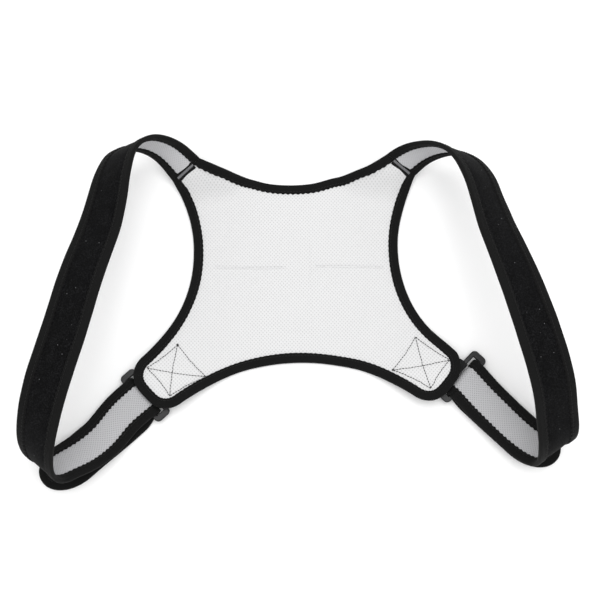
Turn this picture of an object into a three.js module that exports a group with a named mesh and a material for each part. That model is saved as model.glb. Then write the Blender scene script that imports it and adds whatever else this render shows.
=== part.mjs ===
import * as THREE from 'three';

// Posture corrector lying flat: an X-shaped back panel with two shoulder straps.
// Millimetres, +Z up. +Y points to the neck, -Y to the waist, and the white lining
// faces up. Sizes count from the table under the middle of the panel, and at the
// end the whole moves so that the origin is under its own middle.

// Fabric build-up
const liningThick = 1.7;
const shellThick = 1.5;
const layerGap = 0.3;
const tapeThick = 0.7;
const tapeWidth = 9.8;
const tapeGap = 0.3;
const strapWidth = 46;

// Back panel, half of it, measured from the middle
const topMidUp = 101.5;
const bottomMidDown = 97.5;
const waistHalf = 112;
const waistUp = 29;
const lobeCentreOut = 143.5;
const lobeCentreDown = 114;
const lobeRadius = 32.5;
const lobeTipFlat = 0.17;
const lobeHeading = 41;
const lobeLevel = 8;
const lobeSlope = 90;

// Seam between panel and strap, the same on both sides
const seamOut = 118.5;
const seamUp = 116;
const seamRise = 22.6;
const seamFacing = 25;
const seamTilt = 37;
const seamFall = 0.48;
const seamFlat = 9;
const seamWide = 26;
const seamFade = 45;
const seamTapeLength = 8;
const seamTapeInset = 1.6;

// Ring buckle and what holds it
const ringLength = 64;
const ringBar = 5;
const ringSlotWidth = 9;
const ringSlotLength = 50;
const ringThick = 3.5;
const ringCorner = 5;
const ringBevel = 0.8;
const ringHold = 0.6;
const ringSlip = 5;
const tabWidth = 38;
const tabThick = 1.5;
const tabLoose = 0.9;
const tabEnd = 66;
const boxOut = 134;
const boxDown = 103;
const boxHeading = 33.5;
const boxReach = 44;

// Loops of the straps
const loopReach = 80;
const loopHeight = 112;
const hookStart = 30;
const hookEnd = 96;
const hookThick = 1.3;
const hookWidth = 22;
const endLongSide = 43;
const endShortSide = 18;
const endTipAcross = -5;

// Sizes that follow
const layersHalf = (liningThick + shellThick + layerGap) / 2;
const boundHalf = layersHalf + tapeGap + tapeThick;
const edgeInset = tapeGap + tapeThick;
const halfWidth = strapWidth / 2;
const tailLevel = boundHalf;
const wrapRadius = ringThick / 2 + tapeGap + boundHalf + 0.5;
const ringLevel = tailLevel + wrapRadius;
const strapOverRing = ringLevel + wrapRadius;
const lobeRise = strapOverRing + boundHalf + tapeGap;

// One row for each section of a strap, from the seam to the ring.
// along: share of the way from seam to ring; out: share of the loop's reach;
// rise: share of the loop's height; facing: where the width points in plan,
// in degrees; tilt: how far the neck-side edge is lifted, in degrees.
const leftLie = [
  { along: -0.056, out: 0.294, rise: 0.33, facing: 12, tilt: 47 },
  { along: -0.049, out: 0.555, rise: 0.49, facing: 5, tilt: 47 },
  { along: 0.024, out: 0.75, rise: 0.66, facing: 0, tilt: 44 },
  { along: 0.13, out: 0.8, rise: 0.737, facing: -5, tilt: 35 },
  { along: 0.24, out: 0.794, rise: 0.768, facing: -7.5, tilt: 26 },
  { along: 0.366, out: 0.8, rise: 0.804, facing: -10, tilt: 17 },
  { along: 0.585, out: 0.862, rise: 0.92, facing: -13, tilt: 13 },
  { along: 0.82, out: 0.912, rise: 0.973, facing: -15.5, tilt: 12 },
  { along: 1.05, out: 1, rise: 0.946, facing: -20.5, tilt: 12 },
  { along: 1.205, out: 1.05, rise: 0.82, facing: -25, tilt: 17 },
  { along: 1.3, out: 1.05, rise: 0.66, facing: -30, tilt: 22 },
  { along: 1.35, out: 1.006, rise: 0.504, facing: -36, tilt: 25 },
  { along: 1.36, out: 0.912, rise: 0.366, facing: -38.5, tilt: 25 },
  { along: 1.325, out: 0.775, rise: 0.252, facing: -41, tilt: 22 },
  { along: 1.265, out: 0.612, rise: 0.165, facing: -43.5, tilt: 14 },
  { along: 1.19, out: 0.431, rise: 0.108, facing: -45.5, tilt: 6 },
  { along: 1.095, out: 0.225, rise: 0.094, facing: -47.5, tilt: 2 },
];
const rightLie = [
  { along: -0.017, out: 0.275, rise: 0.33, facing: 12.5, tilt: 45 },
  { along: 0.012, out: 0.519, rise: 0.5, facing: 3, tilt: 46 },
  { along: 0.089, out: 0.69, rise: 0.66, facing: 1, tilt: 46 },
  { along: 0.194, out: 0.769, rise: 0.777, facing: -2, tilt: 42 },
  { along: 0.303, out: 0.775, rise: 0.835, facing: -5, tilt: 37 },
  { along: 0.43, out: 0.769, rise: 0.884, facing: -7, tilt: 30 },
  { along: 0.66, out: 0.794, rise: 0.996, facing: -12, tilt: 22 },
  { along: 0.9, out: 0.812, rise: 1.045, facing: -15.5, tilt: 16 },
  { along: 1.13, out: 0.831, rise: 0.96, facing: -20, tilt: 14 },
  { along: 1.265, out: 0.825, rise: 0.768, facing: -22, tilt: 13 },
  { along: 1.365, out: 0.812, rise: 0.598, facing: -24, tilt: 11 },
  { along: 1.405, out: 0.794, rise: 0.438, facing: -30, tilt: 11 },
  { along: 1.405, out: 0.744, rise: 0.286, facing: -39, tilt: 10.5 },
  { along: 1.365, out: 0.644, rise: 0.182, facing: -43.5, tilt: 9 },
  { along: 1.29, out: 0.494, rise: 0.129, facing: -44, tilt: 6 },
  { along: 1.21, out: 0.356, rise: 0.104, facing: -44, tilt: 4 },
  { along: 1.1, out: 0.169, rise: 0.095, facing: -44.5, tilt: 2 },
];

// side is -1 left, +1 right as seen from above; heading is where the strap
// leaves its ring for the arm, in degrees below the line straight outwards.
const sides = [
  { name: 'left', side: -1, ringOut: 165.4, ringDown: 131, heading: 41, tail: 133.5, lie: leftLie },
  { name: 'right', side: 1, ringOut: 176, ringDown: 118.5, heading: 45, tail: 126.5, lie: rightLie },
];

// Colours and finishes
const whiteMesh = { color: 0xe6e6e8, roughness: 0.95, metalness: 0 };
const blackCloth = { color: 0x17181b, roughness: 0.95, metalness: 0 };
const blackTape = { color: 0x1c1b1a, roughness: 0.8, metalness: 0 };
const blackPlastic = { color: 0x202124, roughness: 0.45, metalness: 0 };

const model = new THREE.Group();
model.name = 'posture_corrector';

const radians = THREE.MathUtils.degToRad;
const mix = THREE.MathUtils.lerp;
const ramp = THREE.MathUtils.smoothstep;

function addPiece(name, geometry, finish) {
  const mesh = new THREE.Mesh(geometry, new THREE.MeshStandardMaterial(finish));
  mesh.name = name;
  model.add(mesh);
}

// A closed body from its points and triangles, turned so that its faces point out.
function solidFrom(points, faces) {
  const triple = new THREE.Vector3();
  let volume = 0;
  for (let i = 0; i < faces.length; i += 3) {
    const [a, b, c] = [points[faces[i]], points[faces[i + 1]], points[faces[i + 2]]];
    volume += triple.crossVectors(b, c).dot(a);
  }
  if (volume < 0) {
    faces.reverse();
  }
  const geometry = new THREE.BufferGeometry();
  const flat = points.flatMap((p) => [p.x, p.y, p.z]);
  geometry.setAttribute('position', new THREE.Float32BufferAttribute(flat, 3));
  geometry.setIndex(faces);
  geometry.computeVertexNormals();
  return geometry;
}

// A closed skin over rings of points. Each ring goes the same way round, and the
// triangles in caps close the two end rings. Each side of a section is cut into
// triangles along one diagonal, the sides in turned along the other one.
function skin(rings, caps, turned) {
  const size = rings[0].length;
  const faces = [];
  for (let i = 0; i + 1 < rings.length; i++) {
    for (let j = 0; j < size; j++) {
      const a = i * size + j;
      const b = i * size + ((j + 1) % size);
      if (turned.includes(j)) {
        faces.push(a, b, a + size, b, b + size, a + size);
      } else {
        faces.push(a, b, b + size, a, b + size, a + size);
      }
    }
  }
  const last = (rings.length - 1) * size;
  for (const [a, b, c] of caps) {
    faces.push(c, b, a, last + a, last + b, last + c);
  }
  return solidFrom(rings.flat(), faces);
}

const boxCaps = [[0, 1, 2], [0, 2, 3]];
const boxTurned = [2];
const layerCaps = [[0, 1, 6], [0, 6, 7], [1, 2, 5], [1, 5, 6], [2, 3, 4], [2, 4, 5]];
const layerTurned = [4, 5, 6];
const channelCaps = layerCaps;
const channelTurned = [2, 4];

// The eight corners of a folded tape's section. at(depth, off) is a point that far
// in from the edge and that far off the middle of the layers.
function channel(at) {
  const inner = layersHalf + tapeGap;
  return [
    at(tapeWidth, boundHalf), at(0, boundHalf), at(0, -boundHalf), at(tapeWidth, -boundHalf),
    at(tapeWidth, -inner), at(tapeThick, -inner), at(tapeThick, inner), at(tapeWidth, inner),
  ];
}

// Height of the panel's middle surface over a point of the plan. It lies flat,
// lifts to a tilted flat patch at each seam, and climbs over the rings.
const seamDrop = seamRise - boundHalf;
const seamSlope = Math.tan(radians(seamTilt));
const softBend = 2;

function panelHeight(x, y) {
  let z = boundHalf;
  for (const side of [-1, 1]) {
    const facing = radians(seamFacing);
    const dx = seamOut - x * side;
    const dy = y - seamUp;
    const across = dx * Math.cos(facing) + dy * Math.sin(facing);
    const back = dx * Math.sin(facing) - dy * Math.cos(facing);
    const lift = seamDrop + seamSlope * across - seamFall * back;
    const past = Math.hypot(Math.max(back - seamFlat, 0), Math.max(across - seamWide, 0));
    z += (0.5 * (lift + Math.hypot(lift, softBend))) * (1 - ramp(past, 0, seamFade));
    z += lobeRise * lobeLift(x * side, y);
  }
  return z;
}

// How much of its full rise a lobe has at a distance from its tip.
function lobeLift(out, y) {
  const heading = radians(lobeHeading);
  const tip = lobePoint(-lobeHeading);
  const back = (tip.x - out) * Math.cos(heading) + (y - tip.y) * Math.sin(heading);
  const share = THREE.MathUtils.clamp((back - lobeLevel) / lobeSlope, 0, 1);
  return out > 0 ? 0.5 + 0.5 * Math.cos(Math.PI * share) : 0;
}

// Rim of a lobe: a round of nearly constant radius with a flattened tip.
const tipDegrees = -42;
const tipSpread = 38;

function lobePoint(degrees) {
  const dip = Math.exp(-(((degrees - tipDegrees) / tipSpread) ** 2));
  const radius = lobeRadius * (1 - lobeTipFlat * dip);
  return {
    x: lobeCentreOut + radius * Math.cos(radians(degrees)),
    y: -lobeCentreDown + radius * Math.sin(radians(degrees)),
  };
}

// Corners of a seam in plan: the neck side and the arm side.
const seamHalfPlan = halfWidth * Math.cos(radians(seamTilt));
const seamCorner = (way) => ({
  x: seamOut - way * seamHalfPlan * Math.cos(radians(seamFacing)),
  y: seamUp + way * seamHalfPlan * Math.sin(radians(seamFacing)),
});
const neckCorner = seamCorner(1);
const armCorner = seamCorner(-1);

// Right half of the panel's outline, clockwise from the middle of the top edge.
// Powers shape its hollow edges: 1 would be straight, higher ones bend late.
const lobeStart = 51;
const lobeEnd = -129;
const topPower = 1.9;
const armTopPower = 2;
const armLowPower = 2.3;
const bottomPower = 2.1;
const nearNeckShare = 0.9;
const nearArmShare = 0.17;
const steps = { top: 7, armholeTop: 5, armholeLow: 6, lobe: 9, bottom: 7 };

function halfOutline() {
  const points = [];
  const run = (count, at) => {
    for (let i = 0; i < count; i++) {
      points.push({ spot: 'edge', ...at(i / count) });
    }
  };
  const lobeTop = lobePoint(lobeStart);
  const lobeFoot = lobePoint(lobeEnd);
  const top = (t) => ({
    x: neckCorner.x * t,
    y: mix(topMidUp, neckCorner.y, t ** topPower),
  });
  run(steps.top, (t) => top(t * nearNeckShare));
  points.push({ spot: 'nearNeck', ...top(nearNeckShare) });
  points.push({ spot: 'neckCorner', ...neckCorner });
  points.push({ spot: 'seamMiddle', x: seamOut, y: seamUp });
  points.push({ spot: 'armCorner', ...armCorner });
  run(steps.armholeTop, (share) => {
    const t = mix(nearArmShare, 1, share);
    return {
      x: mix(waistHalf, armCorner.x, (1 - t) ** armTopPower),
      y: mix(armCorner.y, waistUp, t),
    };
  });
  run(steps.armholeLow, (t) => ({
    x: mix(waistHalf, lobeTop.x, t ** armLowPower),
    y: mix(waistUp, lobeTop.y, t),
  }));
  run(steps.lobe, (t) => lobePoint(mix(lobeStart, lobeEnd, t)));
  run(steps.bottom, (t) => ({
    x: lobeFoot.x * (1 - t),
    y: mix(-bottomMidDown, lobeFoot.y, (1 - t) ** bottomPower),
  }));
  points.push({ spot: 'edge', x: 0, y: -bottomMidDown });
  return points;
}

// The whole outline, clockwise. Each point has its way in from the edge, and at a
// seam the way back from the seam, both in plan.
function wholeOutline() {
  const right = halfOutline();
  const left = right.slice(1, -1).reverse().map((p) => ({ ...p, x: -p.x }));
  const points = [...right, ...left];
  const count = points.length;
  return points.map((p, i) => {
    const before = points[(i + count - 1) % count];
    const after = points[(i + 1) % count];
    const way = new THREE.Vector2(after.x - before.x, after.y - before.y).normalize();
    const inwards = new THREE.Vector2(way.y, -way.x);
    const side = Math.sign(p.x);
    const [cos, sin] = [Math.cos(radians(seamFacing)), Math.sin(radians(seamFacing))];
    const toArm = new THREE.Vector2(side * cos, -sin);
    const back = new THREE.Vector2(-side * sin, -cos);
    const spots = {
      nearNeck: { inwards: inwards.clone().add(toArm).normalize() },
      neckCorner: { inwards: toArm, fromSeam: back },
      seamMiddle: { inwards: new THREE.Vector2(), fromSeam: back },
      armCorner: { inwards: toArm.clone().negate(), fromSeam: back },
    };
    return { ...p, inwards, fromSeam: new THREE.Vector2(), ...spots[p.spot] };
  });
}

// The panel's surface, off along its normal from the middle of the layers.
function panelNormal(x, y) {
  const h = 0.5;
  const slopeX = (panelHeight(x + h, y) - panelHeight(x - h, y)) / (2 * h);
  const slopeY = (panelHeight(x, y + h) - panelHeight(x, y - h)) / (2 * h);
  return new THREE.Vector3(-slopeX, -slopeY, 1).normalize();
}

function panelPoint(x, y, off) {
  const point = new THREE.Vector3(x, y, panelHeight(x, y));
  return point.addScaledVector(panelNormal(x, y), off);
}

// The plan distance that covers a length of cloth, where the panel climbs.
function planShare(x, y, way) {
  const climb = panelHeight(x + way.x, y + way.y) - panelHeight(x, y);
  return 1 / Math.hypot(1, climb);
}

// The plan point that lies a depth of cloth in from an outline point.
const layerSeamShare = 0.5;

function inFrom(p, depth, seamShare) {
  const inwards = depth * planShare(p.x, p.y, p.inwards);
  const back = depth * seamShare;
  return {
    x: p.x + p.inwards.x * inwards + p.fromSeam.x * back,
    y: p.y + p.inwards.y * inwards + p.fromSeam.y * back,
  };
}

const outline = wholeOutline();

// A layer of the panel between two distances from the middle surface: a ring of
// points at the rim, one under the tape's inner edge, and smaller rings inside.
const ringShares = [1, 0.94, 0.86, 0.72, 0.48];

function panelLayer(low, high) {
  const rim = outline.map((p) => inFrom(p, edgeInset, layerSeamShare));
  const underTape = outline.map((p) => inFrom(p, tapeWidth, layerSeamShare));
  const rings = [rim];
  for (const share of ringShares) {
    rings.push(underTape.map((p) => ({ x: p.x * share, y: p.y * share })));
  }
  const count = rim.length;
  const half = rings.length * count + 1;
  const points = [high, low].flatMap((off) => [
    ...rings.flat().map((p) => panelPoint(p.x, p.y, off)), panelPoint(0, 0, off),
  ]);
  const faces = [];
  for (const [base, over] of [[0, true], [half, false]]) {
    const add = (a, b, c) => faces.push(...(over ? [a, b, c] : [a, c, b]));
    for (let j = 0; j < count; j++) {
      const k = (j + 1) % count;
      for (let i = 0; i + 1 < rings.length; i++) {
        const outer = base + i * count;
        const inner = outer + count;
        add(outer + j, outer + k, inner + k);
        add(outer + j, inner + k, inner + j);
      }
      const inner = base + (rings.length - 1) * count;
      add(inner + j, inner + k, base + half - 1);
    }
  }
  for (let j = 0; j < count; j++) {
    const k = (j + 1) % count;
    faces.push(k, j, half + j, k, half + j, half + k);
  }
  return solidFrom(points, faces);
}

// Edge tape of the panel, folded round the layers along a stretch of the outline.
// Its two ends lie in the seams.
function panelTape(points) {
  const rings = points.map((p) => channel((depth, off) => {
    const { x, y } = inFrom(p, depth, 0);
    return panelPoint(x, y, off);
  }));
  return skin(rings, channelCaps, channelTurned);
}

addPiece('panel_lining', panelLayer(layersHalf - liningThick, layersHalf), whiteMesh);
addPiece('panel_shell', panelLayer(-layersHalf, shellThick - layersHalf), blackCloth);

const neckAt = outline.findIndex((p) => p.spot === 'neckCorner');
const armAt = outline.findIndex((p) => p.spot === 'armCorner');
const count = outline.length;
const neckEdge = [...outline.slice(count - neckAt), ...outline.slice(0, neckAt + 1)];
const armEdge = outline.slice(armAt, count - armAt + 1);
addPiece('panel_tape_neck', panelTape(neckEdge), blackTape);
addPiece('panel_tape_arms', panelTape(armEdge), blackTape);

// A strap is worked out as if it were the right one, x pointing outwards, and
// mirror puts it on its side. Width points to the edge that is on the neck side.
function widthAt(facing, tilt) {
  const [f, t] = [radians(facing), radians(tilt)];
  return new THREE.Vector3(-Math.cos(f) * Math.cos(t), Math.sin(f) * Math.cos(t), Math.sin(t));
}

function mirror(point, side) {
  return new THREE.Vector3(point.x * side, point.y, point.z);
}

// Sections along a strap: middle point, way along, width and the black side.
const stepsPerRow = 2;
const wrapSteps = 6;

// Middle of a ring in plan: slipped out along its strap from the point that the
// rows of the strap count to.
function ringPoint({ ringOut, ringDown, heading }, level) {
  return new THREE.Vector3(
    ringOut + ringSlip * Math.cos(radians(heading)),
    -ringDown - ringSlip * Math.sin(radians(heading)),
    level,
  );
}

function strapSections(place) {
  const { ringOut, ringDown, heading, tail, lie } = place;
  const up = new THREE.Vector3(0, 0, 1);
  const seam = new THREE.Vector3(seamOut, seamUp, seamRise);
  const ring = ringPoint(place, strapOverRing);
  const way = new THREE.Vector3(ringOut - seam.x, -ringDown - seam.y, 0);
  const outwards = new THREE.Vector3(-way.y, way.x, 0).normalize();
  const inwards = new THREE.Vector3(-Math.cos(radians(heading)), Math.sin(radians(heading)), 0);
  const ringWidth = new THREE.Vector3(-inwards.y, inwards.x, 0);
  const seamWidth = widthAt(seamFacing, seamTilt);
  const seamBlack = panelNormal(seamOut, seamUp).negate();
  const seamAlong = new THREE.Vector3().crossVectors(seamWidth, seamBlack).negate();
  const rows = lie.map(({ along, out, rise, facing, tilt }) => ({
    point: new THREE.Vector3(seam.x, seam.y, rise * loopHeight)
      .addScaledVector(way, along)
      .addScaledVector(outwards, out * loopReach),
    width: widthAt(facing, tilt),
  }));
  const stations = [
    { point: seam.clone().addScaledVector(seamAlong, -15), width: seamWidth },
    { point: seam, width: seamWidth },
    ...rows,
    { point: ring, width: ringWidth },
    { point: ring.clone().addScaledVector(inwards, 15), width: ringWidth },
  ];
  const path = new THREE.CatmullRomCurve3(stations.map((s) => s.point), false, 'centripetal');
  const turn = new THREE.CatmullRomCurve3(stations.map((s) => s.width), false, 'centripetal');
  const spans = stations.length - 1;
  const sections = [];
  for (let i = stepsPerRow; i <= (spans - 1) * stepsPerRow; i++) {
    const t = i / (spans * stepsPerRow);
    const small = 0.1 / spans;
    const along = path.getPoint(t + small).sub(path.getPoint(t - small)).normalize();
    const width = turn.getPoint(t);
    width.addScaledVector(along, -width.dot(along)).normalize();
    const black = new THREE.Vector3().crossVectors(width, along);
    sections.push({ point: path.getPoint(t), along, width, black });
  }
  sections[0].point.addScaledVector(seamAlong, layerGap);
  sections[0].width = seamWidth;
  sections[0].black = seamBlack;
  for (let i = 0; i <= wrapSteps; i++) {
    const angle = (Math.PI * i) / wrapSteps;
    const point = ringPoint(place, ringLevel + wrapRadius * Math.cos(angle))
      .addScaledVector(inwards, ringHold + wrapRadius * Math.sin(angle));
    const along = inwards.clone().multiplyScalar(Math.cos(angle));
    along.addScaledVector(up, -Math.sin(angle));
    const black = inwards.clone().multiplyScalar(-Math.sin(angle));
    black.addScaledVector(up, -Math.cos(angle));
    sections.push({ point, along, width: ringWidth, black });
  }
  const back = inwards.clone().negate();
  const point = ringPoint(place, tailLevel);
  point.addScaledVector(back, tail - endLongSide);
  sections.push({ point, along: back, width: ringWidth, black: up });
  return { sections, inwards, ringWidth };
}

// A point of a strap: ahead of a section, across its width and off to its black side.
function strapPoint(section, ahead, across, off) {
  return section.point.clone()
    .addScaledVector(section.along, ahead)
    .addScaledVector(section.width, across)
    .addScaledVector(section.black, off);
}

// Rim of the rounded end, from its long neck-side curve to its short one. Shares
// go from 0 where the edges are still straight to 1 at the tip.
function endCurve(share, neckSide, inset) {
  const reach = (neckSide > 0 ? endLongSide : endShortSide) - inset;
  const across = neckSide * halfWidth - endTipAcross - neckSide * inset;
  const angle = (Math.PI / 2) * share;
  const ahead = endLongSide - inset - reach + reach * Math.sin(angle);
  const way = new THREE.Vector2(Math.sin(angle) / reach, Math.cos(angle) / across).normalize();
  return { ahead, across: endTipAcross + across * Math.cos(angle), out: way };
}

const endSteps = 6;
const endInset = edgeInset + 0.6;

function strapLayer({ sections }, side, low, high) {
  const ends = sections[sections.length - 1];
  const half = halfWidth - edgeInset;
  const ring = (section, ahead, neck, arm) => {
    const underTape = [Math.min(neck, halfWidth - tapeWidth), Math.max(arm, tapeWidth - halfWidth)];
    if (neck < halfWidth - tapeWidth || arm > tapeWidth - halfWidth) {
      underTape[0] = mix(arm, neck, 0.75);
      underTape[1] = mix(arm, neck, 0.25);
    }
    const across = [neck, ...underTape, arm];
    return [
      ...across.map((w) => strapPoint(section, ahead, w, high)),
      ...across.reverse().map((w) => strapPoint(section, ahead, w, low)),
    ];
  };
  const rings = sections.map((section) => ring(section, 0, half, -half));
  for (let i = 1; i <= endSteps; i++) {
    const neck = endCurve((0.88 * i) / endSteps, 1, endInset);
    const reach = endShortSide - endInset;
    const start = endLongSide - endInset - reach;
    const past = Math.max(neck.ahead - start, 0) / reach;
    const arm = endCurve(Math.asin(Math.min(past, 1)) / (Math.PI / 2), -1, endInset);
    rings.push(ring(ends, neck.ahead, neck.across, arm.across));
  }
  return skin(rings.map((r) => r.map((p) => mirror(p, side))), layerCaps, layerTurned);
}

// Edge tape of a strap: down its neck side, round the end and back up its arm side.
function strapTape({ sections }, side) {
  const ends = sections[sections.length - 1];
  const edge = (way) => sections.map((section) => ({
    section, ahead: 0, across: way * halfWidth, out: new THREE.Vector2(0, way),
  }));
  const round = [];
  for (let i = 1; i < endSteps; i++) {
    round.push({ section: ends, ...endCurve(i / endSteps, 1, 0) });
  }
  for (let i = endSteps; i >= 0; i--) {
    round.push({ section: ends, ...endCurve(i / endSteps, -1, 0) });
  }
  const rim = [...edge(1), ...round, ...edge(-1).reverse()];
  const rings = rim.map(({ section, ahead, across, out }) => channel((depth, off) =>
    mirror(strapPoint(section, ahead - out.x * depth, across - out.y * depth, off), side)));
  return skin(rings, channelCaps, channelTurned);
}

// Rectangular ring with one slot. x points from its outer bar to its inner bar.
function ringBuckle() {
  const width = 2 * ringBar + ringSlotWidth;
  const [x0, x1] = [ringBevel - ringBar / 2, width - ringBar / 2 - ringBevel];
  const y1 = ringLength / 2 - ringBevel;
  const r = ringCorner - ringBevel;
  const shape = new THREE.Shape();
  shape.moveTo(x0 + r, -y1);
  shape.lineTo(x1 - r, -y1);
  shape.absarc(x1 - r, r - y1, r, -Math.PI / 2, 0);
  shape.lineTo(x1, y1 - r);
  shape.absarc(x1 - r, y1 - r, r, 0, Math.PI / 2);
  shape.lineTo(x0 + r, y1);
  shape.absarc(x0 + r, y1 - r, r, Math.PI / 2, Math.PI);
  shape.lineTo(x0, r - y1);
  shape.absarc(x0 + r, r - y1, r, Math.PI, Math.PI * 1.5);
  const slot = new THREE.Path();
  const [s0, s1] = [ringBar / 2 - ringBevel, ringBar / 2 + ringSlotWidth + ringBevel];
  const s2 = ringSlotLength / 2 + ringBevel;
  slot.moveTo(s0, -s2);
  slot.lineTo(s0, s2);
  slot.lineTo(s1, s2);
  slot.lineTo(s1, -s2);
  slot.closePath();
  shape.holes.push(slot);
  const geometry = new THREE.ExtrudeGeometry(shape, {
    depth: ringThick - 2 * ringBevel,
    bevelThickness: ringBevel,
    bevelSize: ringBevel,
    bevelSegments: 1,
    curveSegments: 3,
  });
  return geometry.translate(0, 0, ringBevel - ringThick / 2);
}

function placeRing(place) {
  const { side, heading } = place;
  const inwards = new THREE.Vector3(
    -Math.cos(radians(heading)) * side, Math.sin(radians(heading)), 0);
  const up = new THREE.Vector3(0, 0, 1);
  const matrix = new THREE.Matrix4().makeBasis(
    inwards, new THREE.Vector3().crossVectors(up, inwards), up);
  matrix.setPosition(ringPoint(place, ringLevel).multiply(new THREE.Vector3(side, 1, 1)));
  return ringBuckle().applyMatrix4(matrix);
}

// Webbing tab: folded round the inner bar, its two ends sewn under the lobe.
// back counts from the outer bar inwards, rise from the middle of the ring, and
// a row with a layer follows the underside of the lobe instead, below it by its sag.
const barBack = ringBar + ringSlotWidth;
const tabClear = tabThick / 2 + tapeGap + 0.2;
const tabSide = ringBar / 2 + tabClear;
const tabOver = ringThick / 2 + tabClear;
const tabRows = [
  { back: tabEnd, layer: 0 },
  { back: 0.5 * (tabEnd + boxReach), layer: 0 },
  { back: boxReach, layer: 0 },
  { back: 0.85 * boxReach, layer: 0, sag: 0.4 },
  { back: 0.66 * boxReach, layer: 0, sag: 1.6 },
  { back: barBack + 8, rise: tabOver + 1.9 },
  { back: barBack + 2.5, rise: tabOver },
  { back: barBack - 0.4 * tabSide, rise: tabOver },
  { back: barBack - 0.82 * tabSide, rise: 0.72 * tabOver },
  { back: barBack - tabSide, rise: 0 },
  { back: barBack - 0.82 * tabSide, rise: -0.72 * tabOver },
  { back: barBack - 0.4 * tabSide, rise: -tabOver },
  { back: barBack + 2.5, rise: -tabOver },
  { back: barBack + 8, rise: -0.2 },
  { back: 0.66 * boxReach, layer: 1, sag: 1.6 },
  { back: 0.85 * boxReach, layer: 1, sag: 0.4 },
  { back: boxReach, layer: 1 },
  { back: 0.5 * (tabEnd + boxReach), layer: 1 },
  { back: tabEnd, layer: 1 },
];

function tab(place, { inwards, ringWidth }) {
  const { side } = place;
  const box = new THREE.Vector3(boxOut, -boxDown, 0);
  const boxInwards = new THREE.Vector3(
    -Math.cos(radians(boxHeading)), Math.sin(radians(boxHeading)), 0);
  const boxWidth = new THREE.Vector3(-boxInwards.y, boxInwards.x, 0);
  const ring = ringPoint(place, 0);
  const play = (ringSlotLength - tabWidth) / 2 - 1;
  const shift = THREE.MathUtils.clamp(box.clone().sub(ring).dot(ringWidth), -play, play);
  ring.addScaledVector(ringWidth, shift);
  const plan = (back, across) => {
    const blend = ramp(back, barBack + 3, barBack + 18);
    const byRing = ring.clone().addScaledVector(inwards, back)
      .addScaledVector(ringWidth, across);
    const byBox = box.clone().addScaledVector(boxInwards, back - boxReach)
      .addScaledVector(boxWidth, across);
    return byRing.lerp(byBox, blend);
  };
  const line = (across) => tabRows.map(({ back, layer, sag = 0, rise }) => {
    const p = plan(back, across);
    const drop = layersHalf + tabLoose + sag + tabThick / 2 + layer * (tabThick + layerGap);
    p.z = rise === undefined ? panelHeight(p.x, p.y) - drop : ringLevel + rise;
    return p;
  });
  const [neckLine, armLine] = [line(tabWidth / 2), line(-tabWidth / 2)];
  const last = tabRows.length - 1;
  const rings = tabRows.map((row, i) => {
    const across = neckLine[i].clone().sub(armLine[i]).normalize();
    const off = (points) => {
      const along = points[Math.min(i + 1, last)].clone().sub(points[Math.max(i - 1, 0)]);
      return new THREE.Vector3().crossVectors(along, across).normalize();
    };
    const corner = (points, way) =>
      points[i].clone().addScaledVector(off(points), (way * tabThick) / 2);
    return [
      corner(neckLine, 1), corner(armLine, 1), corner(armLine, -1), corner(neckLine, -1),
    ];
  });
  return skin(rings.map((r) => r.map((p) => mirror(p, side))), boxCaps, boxTurned);
}

// Stitched tape over the seam on the white side, between the edge tapes.
function seamTape(side) {
  const facing = radians(seamFacing);
  const shareAcross = Math.cos(radians(seamTilt));
  const reach = halfWidth - tapeWidth - seamTapeInset;
  const rings = [-1, -0.5, 0, 0.5, 1].map((share) => {
    const across = share * reach * shareAcross;
    const at = (back, off) => panelPoint(
      side * (seamOut - across * Math.cos(facing) - back * Math.sin(facing)),
      seamUp + across * Math.sin(facing) - back * Math.cos(facing),
      off,
    );
    const low = layersHalf + tapeGap;
    const high = low + tapeThick;
    const far = layerGap + seamTapeLength * planShare(
      side * seamOut, seamUp, { x: -side * Math.sin(facing), y: -Math.cos(facing) });
    return [at(layerGap, low), at(layerGap, high), at(far, high), at(far, low)];
  });
  return skin(rings, boxCaps, boxTurned);
}

// Hook patch on the black side of the tail.
function hookPatch({ sections }, side, tail) {
  const ends = sections[sections.length - 1];
  const low = layersHalf + tapeGap;
  const high = low + hookThick;
  const rings = [hookStart, (hookStart + hookEnd) / 2, hookEnd].map((from) => {
    const ahead = from - (tail - endLongSide);
    return [[1, low], [1, high], [-1, high], [-1, low]].map(([way, off]) =>
      mirror(strapPoint(ends, ahead, (way * hookWidth) / 2, off), side));
  });
  return skin(rings, boxCaps, boxTurned);
}

for (const data of sides) {
  const { name, side } = data;
  const strap = strapSections(data);
  const lining = strapLayer(strap, side, -layersHalf, liningThick - layersHalf);
  const shell = strapLayer(strap, side, layersHalf - shellThick, layersHalf);
  addPiece(`strap_lining_${name}`, lining, whiteMesh);
  addPiece(`strap_shell_${name}`, shell, blackCloth);
  addPiece(`strap_tape_${name}`, strapTape(strap, side), blackTape);
  addPiece(`seam_tape_${name}`, seamTape(side), blackTape);
  addPiece(`ring_buckle_${name}`, placeRing(data), blackPlastic);
  addPiece(`buckle_tab_${name}`, tab(data, strap), blackTape);
  addPiece(`hook_patch_${name}`, hookPatch(strap, side, data.tail), blackCloth);
}

// The origin goes to the table under the middle of the whole.
const whole = new THREE.Box3().setFromObject(model);
const middle = whole.getCenter(new THREE.Vector3());
for (const mesh of model.children) {
  mesh.geometry.translate(-middle.x, -middle.y, -whole.min.z);
}

export default model;
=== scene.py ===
import math

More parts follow.
